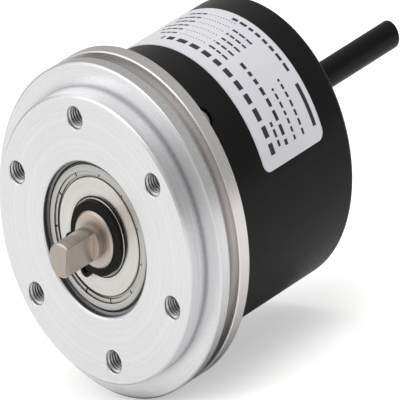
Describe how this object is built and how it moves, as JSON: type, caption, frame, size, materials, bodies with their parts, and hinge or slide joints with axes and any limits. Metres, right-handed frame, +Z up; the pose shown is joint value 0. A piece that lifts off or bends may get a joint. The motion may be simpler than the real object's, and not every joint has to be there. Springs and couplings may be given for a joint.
{
  "type": "incremental rotary encoder",
  "caption": "Round synchro-flange rotary encoder with a centring spigot, tapped face holes, ball-bearing D-flat shaft, black cover with label and axial cable.",
  "frame": {"origin": "where the shaft axis meets the flat front face of the flange", "axes": "the shaft axis is Y with the shaft end towards -Y and the cable towards +Y; +Z is up, through one tapped hole"},
  "size_m": [0.058, 0.0919, 0.058],
  "materials": {
    "turned_aluminium": "turned, satin",
    "bearing_steel": "ground",
    "shield_steel": "pressed sheet",
    "snap_ring_steel": "spring steel",
    "shaft_steel": "ground",
    "disk_steel": "etched sheet",
    "screw_steel": "zinc plated",
    "circlip_black": "phosphated",
    "cage_plastic": "moulded",
    "black_plastic": "moulded",
    "white_plastic": "moulded",
    "chip_plastic": "moulded",
    "ceramic_chip": "fired",
    "clear_resin": "clear",
    "board_green": "solder mask",
    "brass": "turned",
    "copper": "tinned strand",
    "braid": "braided",
    "wire_black": "insulation",
    "wire_white": "insulation",
    "wire_orange": "insulation",
    "wire_brown": "insulation",
    "wire_blue": "insulation",
    "cable_pvc": "satin jacket",
    "black_rubber": "moulded",
    "cover_black": "satin black",
    "label_film": "printed film"
  },
  "bodies": {
    "housing": {"bearing_retainer_plate": "shield_steel", "board_screws": "screw_steel", "board_standoffs": "brass", "cable_crimp_ferrule": "shield_steel", "cable_grommet": "black_rubber", "cable_jacket": "cable_pvc", "cable_shield_braid": "braid", "chip_passives": "ceramic_chip", "collimating_lens": "clear_resin", "cover_o_ring": "black_rubber", "cover_screws": "screw_steel", "driver_chips": "chip_plastic", "flange_housing": "turned_aluminium", "front_bearing_front_shield": "shield_steel", "front_bearing_front_shield_ring": "snap_ring_steel", "front_bearing_outer_ring": "bearing_steel", "front_bearing_rear_shield": "shield_steel", "front_bearing_rear_shield_ring": "snap_ring_steel", "infrared_led": "clear_resin", "led_holder": "black_plastic", "led_holder_screws": "screw_steel", "main_board": "board_green", "nameplate_label": "label_film", "photo_sensor": "chip_plastic", "preload_wave_spring": "snap_ring_steel", "rear_bearing_front_shield": "shield_steel", "rear_bearing_front_shield_ring": "snap_ring_steel", "rear_bearing_outer_ring": "bearing_steel", "rear_bearing_rear_shield": "shield_steel", "rear_bearing_rear_shield_ring": "snap_ring_steel", "rear_cover": "cover_black", "retainer_plate_screws": "screw_steel", "reticle_plate": "clear_resin", "supply_capacitor": "shield_steel", "wire_black": "wire_black", "wire_blue": "wire_blue", "wire_brown": "wire_brown", "wire_copper_cores": "copper", "wire_header": "white_plastic", "wire_header_pins": "brass", "wire_orange": "wire_orange", "wire_plug": "white_plastic", "wire_white": "wire_white"},
    "rotor": {"shaft": "shaft_steel", "front_circlip": "circlip_black", "rear_circlip": "circlip_black", "front_bearing_inner_ring": "bearing_steel", "rear_bearing_inner_ring": "bearing_steel", "inner_ring_spacer": "shaft_steel", "disk_hub": "turned_aluminium", "hub_set_screws": "circlip_black", "code_disk": "disk_steel", "disk_clamp_ring": "disk_steel", "disk_clamp_screws": "screw_steel"},
    "front_ball_set": {"front_bearing_balls": "bearing_steel", "front_bearing_cage": "cage_plastic"},
    "rear_ball_set": {"rear_bearing_balls": "bearing_steel", "rear_bearing_cage": "cage_plastic"}
  },
  "joints": [
    {"name": "shaft_spin", "type": "hinge", "parent": "housing", "child": "rotor", "pos_m": [0, 0, 0], "axis": [0, -1, 0], "continuous": true},
    {"name": "front_cage_spin", "type": "hinge", "parent": "housing", "child": "front_ball_set", "pos_m": [0, 0.0052, 0], "axis": [0, -1, 0], "continuous": true},
    {"name": "rear_cage_spin", "type": "hinge", "parent": "housing", "child": "rear_ball_set", "pos_m": [0, 0.0162, 0], "axis": [0, -1, 0], "continuous": true}
  ],
  "couplings": [
    {"joint": "front_cage_spin", "follows": "shaft_spin", "ratio": 0.36772},
    {"joint": "rear_cage_spin", "follows": "shaft_spin", "ratio": 0.36772}
  ]
}
